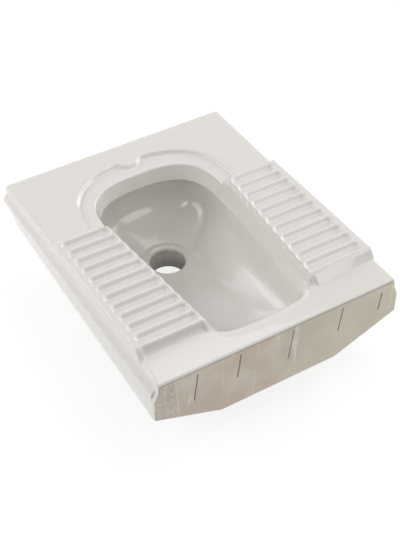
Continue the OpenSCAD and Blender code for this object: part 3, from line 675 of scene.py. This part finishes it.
def tread(name, node, hand):
    """A foot rest: the right one with hand 1, the left one with hand -1."""
    along = lengthwise(hand)
    bm = bmesh.new()
    bmesh.ops.create_grid(bm, x_segments=len(ACROSS) - 1, y_segments=len(along) - 1, size=0.5)
    feet = [e for e in bm.edges if all(abs(v.co.x) > 0.499 for v in e.verts)]
    for v in bm.verts:
        part, d = ACROSS[round((v.co.x + 0.5) * (len(ACROSS) - 1))]
        y_scoop, drop_scoop, y_post, drop_post = along[round((v.co.y + 0.5) * (len(along) - 1))]
        top = tread_top(y_scoop)
        width = SIDE - wall_x(y_scoop, top - EDGE_R)
        rolled_in, rolled_down = EDGE_R * (1 - math.sin(d)), EDGE_R * (1 - math.cos(d))
        inner = {"from outside": width - d, "middle": FAR, "from inside": d, "inner edge": rolled_in,
                 "inner wall": 0}.get(part, width)
        outer = {"from outside": d, "outer edge": rolled_in, "outer wall": 0, "foot": 0}.get(part, FAR)
        post = 1 - float(ease(inner, 4.5, 9.5) * (ease(outer, 9, 13) if hand < 0 else 1))
        y = y_scoop + (y_post - y_scoop) * post
        drop = min(top, drop_scoop + (drop_post - drop_scoop) * post)
        edge_x = wall_x(y, top - EDGE_R)
        if part == "outer wall":
            x, height = SIDE, (top - EDGE_R) * d
        elif part == "outer edge":
            x, height = SIDE - rolled_in, top - rolled_down
        elif part == "from outside":
            x, height = SIDE - d, top
        elif part == "middle":
            start = SIDE - MIDDLE_START
            x, height = start + (edge_x + MIDDLE_END - start) * d, top
        elif part == "from inside":
            x, height = edge_x + d, top
        elif part == "inner edge":
            x, height = edge_x + rolled_in, top - rolled_down
        else:
            # Its x follows from its height, further on
            x, height = None, (top - EDGE_R) * (1 - d)
        if hand > 0 and drop_scoop > 0.1 and y < 0 and x is not None:
            # The right one's slope spreads forward towards the mouth
            y -= SLOPE_SPREAD * min(drop_scoop / SLOPE_DROP, 1) * (SIDE - x) / REST_W * (1 - post)
        z = height * (1 - drop / top)
        if part == "inner wall":
            x = wall_x(y, z)
        # Inner edge: bulges round the groove ends, with a notch between them
        near = min((y - g for g in GROOVES), key=abs)
        if x is not None and LAST_NOTCH < y < GROOVES[0]:
            notch = NOTCH_D * (1 - math.sqrt(max(0.0, 1 - (near / NOTCH_R) ** 2)))
            x += notch * (1 - float(ease(inner, 0, 5.5))) * float(ease(z, max(top - 13, 2), top - 1))
        if part == "foot":
            x, z = SIDE - 1.5 if d > 0 else wall_x(y, 0) + 1.5, -SUNK
        if drop_scoop > LEVEL and y > 0:
            # The back end goes on down to the lowered shelf
            x, z = min(max(x, wall_x(y, 0) + 0.5), SIDE - 0.5), SHELF_Z - 0.5
        elif drop_scoop == UNDER:
            z = -SUNK
        elif part not in ("foot", "outer wall", "inner wall") and y <= CREST_Y:
            # Grooves: stadium-shaped, with a flat floor and round ends
            past = max(edge_x + GROOVE_FROM_INSIDE + GROOVE_R - x, 0,
                       x - (SIDE - GROOVE_FROM_OUTSIDE - GROOVE_R))
            z -= groove_fall(math.hypot(past, near))
        v.co = (hand * x / 1000, y / 1000, (z + DECK_TOP + LIFT) / 1000)
    bmesh.ops.bridge_loops(bm, edges=feet)
    bmesh.ops.holes_fill(bm, edges=[e for e in bm.edges if e.is_boundary], sides=0)
    piece = finished(name, bm, glaze, sharp=60)
    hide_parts(node)


tread("right_foot_rest", "right_tread", 1)
tread("left_foot_rest", "left_tread", -1)


# ---------------------------------------------------------------------------
# Side and back walls. Plain slabs joined under the deck's edge. The side walls
# step out in a small flare below the deck, and their edges are wiped round
# with a sponge before glazing.
# ---------------------------------------------------------------------------
def softened(name, node, material, width, stays_sharp):
    """A copy of a CAD node with its loose triangles joined and its edges rounded."""
    bm = bmesh.new()
    bm.from_mesh(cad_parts[node].data)
    bmesh.ops.remove_doubles(bm, verts=bm.verts, dist=1e-5)
    bmesh.ops.dissolve_limit(bm, angle_limit=math.radians(1), verts=bm.verts, edges=bm.edges)
    edges = [e for e in bm.edges if len(e.link_faces) == 2 and e.calc_face_angle(0) > math.radians(20)
             and not stays_sharp(*(v.co * 1000 for v in e.verts))]
    bmesh.ops.bevel(bm, geom=edges, offset=width / 1000, offset_type="OFFSET", segments=4, profile=0.5,
                    affect="EDGES", material=-1, clamp_overlap=True)
    bmesh.ops.triangulate(bm, faces=[f for f in bm.faces if len(f.verts) > 4])
    piece = finished(name, bm, material, sharp=30)
    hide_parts(node)


# Edges that meet another piece stay sharp, so that the joint doesn't show
JOINT_T = 13.0  # a wall's or the deck's thickness, and a little more


def at_deck(a, b):
    return min(a.z, b.z) > DECK_TOP - JOINT_T


def at_deck_or_front(a, b):
    return at_deck(a, b) or max(a.y, b.y) < FRONT + JOINT_T


def at_deck_or_sides(a, b):
    return at_deck(a, b) or max(abs(a.x), abs(b.x)) > SIDE - JOINT_T


for side in ("left", "right"):
    softened(side + "_side_wall", side + "_skirt", glaze, 2.2, at_deck_or_front)
softened("back_wall", "back_skirt", glaze, 1.5, at_deck_or_sides)


# ---------------------------------------------------------------------------
# Front wall. It is wiped free of glaze, so that the mortar bed grips the bare
# fired clay, and it has five slits cut by hand for the same reason. The glaze
# ends in an uneven line above it, on the edge of the deck.
# ---------------------------------------------------------------------------
ROUNDED_WITHIN = 10.0  # of the face
SLITS_WITHIN, SLITS_ABOVE, SLIT_SPREAD = 230, 125, 15


def stays_crisp(a, b):
    """Edges at the deck, well behind the face, and in the slits, which the sponge passed over."""
    in_slit = (min(abs(a.x), abs(b.x)) < SLITS_WITHIN and min(a.z, b.z) > SLITS_ABOVE
               and abs(a.x - b.x) < SLIT_SPREAD)
    return at_deck(a, b) or max(a.y, b.y) > FRONT + ROUNDED_WITHIN or in_slit


clay = glaze_over_clay("bare_clay")
softened("front_wall", "front_apron", clay, 1.3, stays_crisp)

# ---------------------------------------------------------------------------
# Hidden works. The outlet spigot, the water channel behind the rim, the flush
# inlet and the webs under the foot rests are glazed with the rest; the seal
# in the inlet is a moulded rubber ring.
# ---------------------------------------------------------------------------
RUBBER_DARK, RUBBER_PALE = (0.012, 0.012, 0.013, 1), (0.035, 0.034, 0.033, 1)


def dress(node, material):
    """Gives a CAD node its finish and leaves its shape alone."""
    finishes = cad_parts[node].data.materials
    finishes.clear()
    finishes.append(material)


for node in ("outlet_spigot", "flush_channel", "inlet_socket", "left_web_front", "left_web_rear",
             "right_web_front", "right_web_rear"):
    dress(node, glaze)


def black_rubber():
    material, tree, inputs = new_material("black_rubber", Roughness=0.55)
    coat = place_effect(tree, coat_effect, Cloud_Size=60.0, Ripple_Size=700.0, Ripple_Share=0.6)
    feed(tree, inputs["Base Color"], mixed(tree, RUBBER_DARK, RUBBER_PALE, coat["Tone"]))
    feed(tree, inputs["Normal"], bumped(tree, coat["Height"], 0.2, 0.0004))
    return material


dress("inlet_seal", black_rubber())

# ---------------------------------------------------------------------------
# Studio. A pale floor, seven soft boxes and an even sky, seen from above and
# in front, a little to the left.
# ---------------------------------------------------------------------------
FLOOR_REACH = 6.0
DARK_END, WHITE_START = 0.11, 0.26  # distances from the middle of the pan
CARD_PAINTED_SHADOW, CARD_WHITE = 0.12, 0.85
FLOOR_SHADE, FLOOR_GLOW = (0.3, 0.3, 0.3, 1), 0.78
SKY_COLOR, SKY_LIGHT = (1.0, 0.995, 0.985, 1), 0.34


def mirrored(tree, path):
    """1 for a ray that comes off a glossy surface or through a clear one."""
    return maths(tree, "MAXIMUM", path["Is Glossy Ray"], path["Is Transmission Ray"])


def pale_floor():
    """Seen by the camera or in a reflection it is white with a pale shadow, and to the lamps it is plain
    white card. Under the pan the card is dark, a painted shadow that reflections there show too, so that
    little light comes up the drain."""
    bm = bmesh.new()
    bmesh.ops.create_grid(bm, x_segments=1, y_segments=1, size=FLOOR_REACH)
    mesh = bpy.data.meshes.new("studio_floor")
    bm.to_mesh(mesh)
    bm.free()
    floor = bpy.data.objects.new("studio_floor", mesh)
    bpy.context.scene.collection.objects.link(floor)
    material, tree, _ = new_material("pale_floor")
    nodes = tree.nodes
    nodes.remove(nodes["Principled BSDF"])
    path, away = nodes.new("ShaderNodeLightPath").outputs, nodes.new("ShaderNodeVectorMath")
    away.operation = "LENGTH"
    feed(tree, away.inputs[0], object_point(tree))

    def outward(low, high):
        return ramp(tree, away.outputs["Value"], DARK_END, WHITE_START, low, high, "LINEAR")

    reflected = maths(tree, "MULTIPLY", mirrored(tree, path), outward(0.0, 1.0))
    card, shade = nodes.new("ShaderNodeBsdfDiffuse"), nodes.new("ShaderNodeBsdfDiffuse")
    glow, lit = nodes.new("ShaderNodeEmission"), nodes.new("ShaderNodeAddShader")
    surface = nodes.new("ShaderNodeMixShader")
    # Painted shadow: the card is dark under the pan, to the lamps and in reflections
    feed(tree, card.inputs["Color"], outward(CARD_PAINTED_SHADOW, CARD_WHITE))
    feed(tree, shade.inputs["Color"], FLOOR_SHADE)
    feed(tree, glow.inputs["Strength"], FLOOR_GLOW)
    feed(tree, lit.inputs[0], shade.outputs["BSDF"])
    feed(tree, lit.inputs[1], glow.outputs["Emission"])
    feed(tree, surface.inputs["Fac"], maths(tree, "MAXIMUM", path["Is Camera Ray"], reflected))
    feed(tree, surface.inputs[1], card.outputs["BSDF"])
    feed(tree, surface.inputs[2], lit.outputs["Shader"])
    feed(tree, nodes["Material Output"].inputs["Surface"], surface.outputs["Shader"])
    mesh.materials.append(material)


pale_floor()

LAMP_AIM = Vector((0, 0, 0.15))
for name, place, width, height, power in (
        ("left_soft_box", (-1.9, 0.8, 1.4), 2.4, 1.2, 16),
        ("left_front_soft_box", (-1.56, -0.9, 1.95), 0.4, 0.8, 4),
        ("right_soft_box", (2.2, 0.1, 0.95), 2.6, 1.3, 27),
        ("back_left_soft_box", (-1.75, 1.6, 1.5), 1.6, 1.2, 10),
        ("back_soft_box", (-0.3, 2.4, 0.9), 2.2, 0.9, 5),
        ("overhead_strip", (0.9, 0.3, 2.4), 2.4, 1.2, 13),
        ("front_soft_box", (1.2, -1.8, 1.5), 1.1, 1.0, 7)):
    lamp = bpy.data.lights.new(name, "AREA")
    lamp.shape = "RECTANGLE"
    lamp.size, lamp.size_y, lamp.energy = width, height, power
    box = bpy.data.objects.new(name, lamp)
    bpy.context.scene.collection.objects.link(box)
    box.location = place
    box.rotation_euler = (LAMP_AIM - Vector(place)).to_track_quat("-Z", "Y").to_euler()

world = bpy.data.worlds.new("studio_sky")
bpy.context.scene.world = world
world.use_nodes = True
sky = world.node_tree
backdrop = sky.nodes["Background"].inputs
sky_path = sky.nodes.new("ShaderNodeLightPath").outputs
# White where it is seen, dimmer as a light
sky_seen = maths(sky, "MAXIMUM", sky_path["Is Camera Ray"], mirrored(sky, sky_path))
feed(sky, backdrop["Color"], SKY_COLOR)
feed(sky, backdrop["Strength"], ramp(sky, sky_seen, 0.0, 1.0, SKY_LIGHT, 1.0, "LINEAR"))

camera = bpy.data.objects.new("photo_camera", bpy.data.cameras.new("photo_camera"))
bpy.context.scene.collection.objects.link(camera)
camera.location = (-0.78756, -1.34879, 1.56028)
camera.rotation_euler = [math.radians(a) for a in (47.0374, 0.2787, -31.1193)]
camera.data.sensor_width = 36
camera.data.lens = 75.668
bpy.context.scene.camera = camera
bpy.context.scene.view_settings.view_transform = "Standard"
